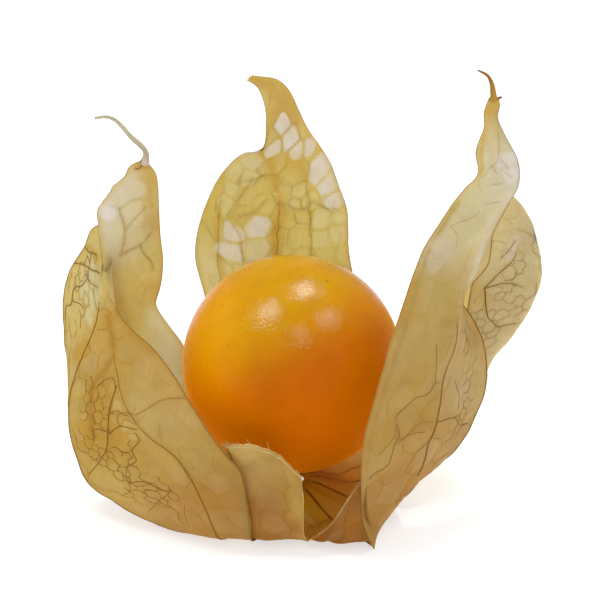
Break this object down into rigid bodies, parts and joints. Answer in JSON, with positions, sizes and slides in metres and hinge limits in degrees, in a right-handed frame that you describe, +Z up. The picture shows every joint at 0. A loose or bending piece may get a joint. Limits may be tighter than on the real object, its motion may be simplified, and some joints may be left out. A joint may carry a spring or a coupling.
{
  "type": "physalis berry",
  "caption": "Round yellow-orange physalis berry sitting in its opened papery husk, whose torn sepals stand up around it with threadlike tips.",
  "frame": {"origin": "under the middle of the whole object's box, on the surface that the husk stands on", "axes": "+Z up; +X to the right and +Y away, seen from the front, where the husk is open between the two low torn pieces"},
  "size_m": [0.045, 0.0286, 0.0429],
  "materials": {
    "berry_skin": "smooth waxy fruit skin, yellow-orange to deep orange, soft gloss",
    "dry_stalk": "dry fibrous stalk, matt",
    "husk_straw": "thin dry calyx, straw to khaki, brown netted veins, faint sheen",
    "husk_pale": "thin dry calyx seen from inside, pale and translucent, soft veins",
    "husk_tan": "thin dry calyx, tan, fine crisp netted veins"
  },
  "bodies": {
    "root": {"berry": "berry_skin", "stalk_stub": "dry_stalk", "sepal_front_left": "husk_straw", "sepal_back_left": "husk_pale", "sepal_back": "husk_pale", "sepal_back_right": "husk_tan", "sepal_front_right": "husk_straw"}
  },
  "joints": []
}
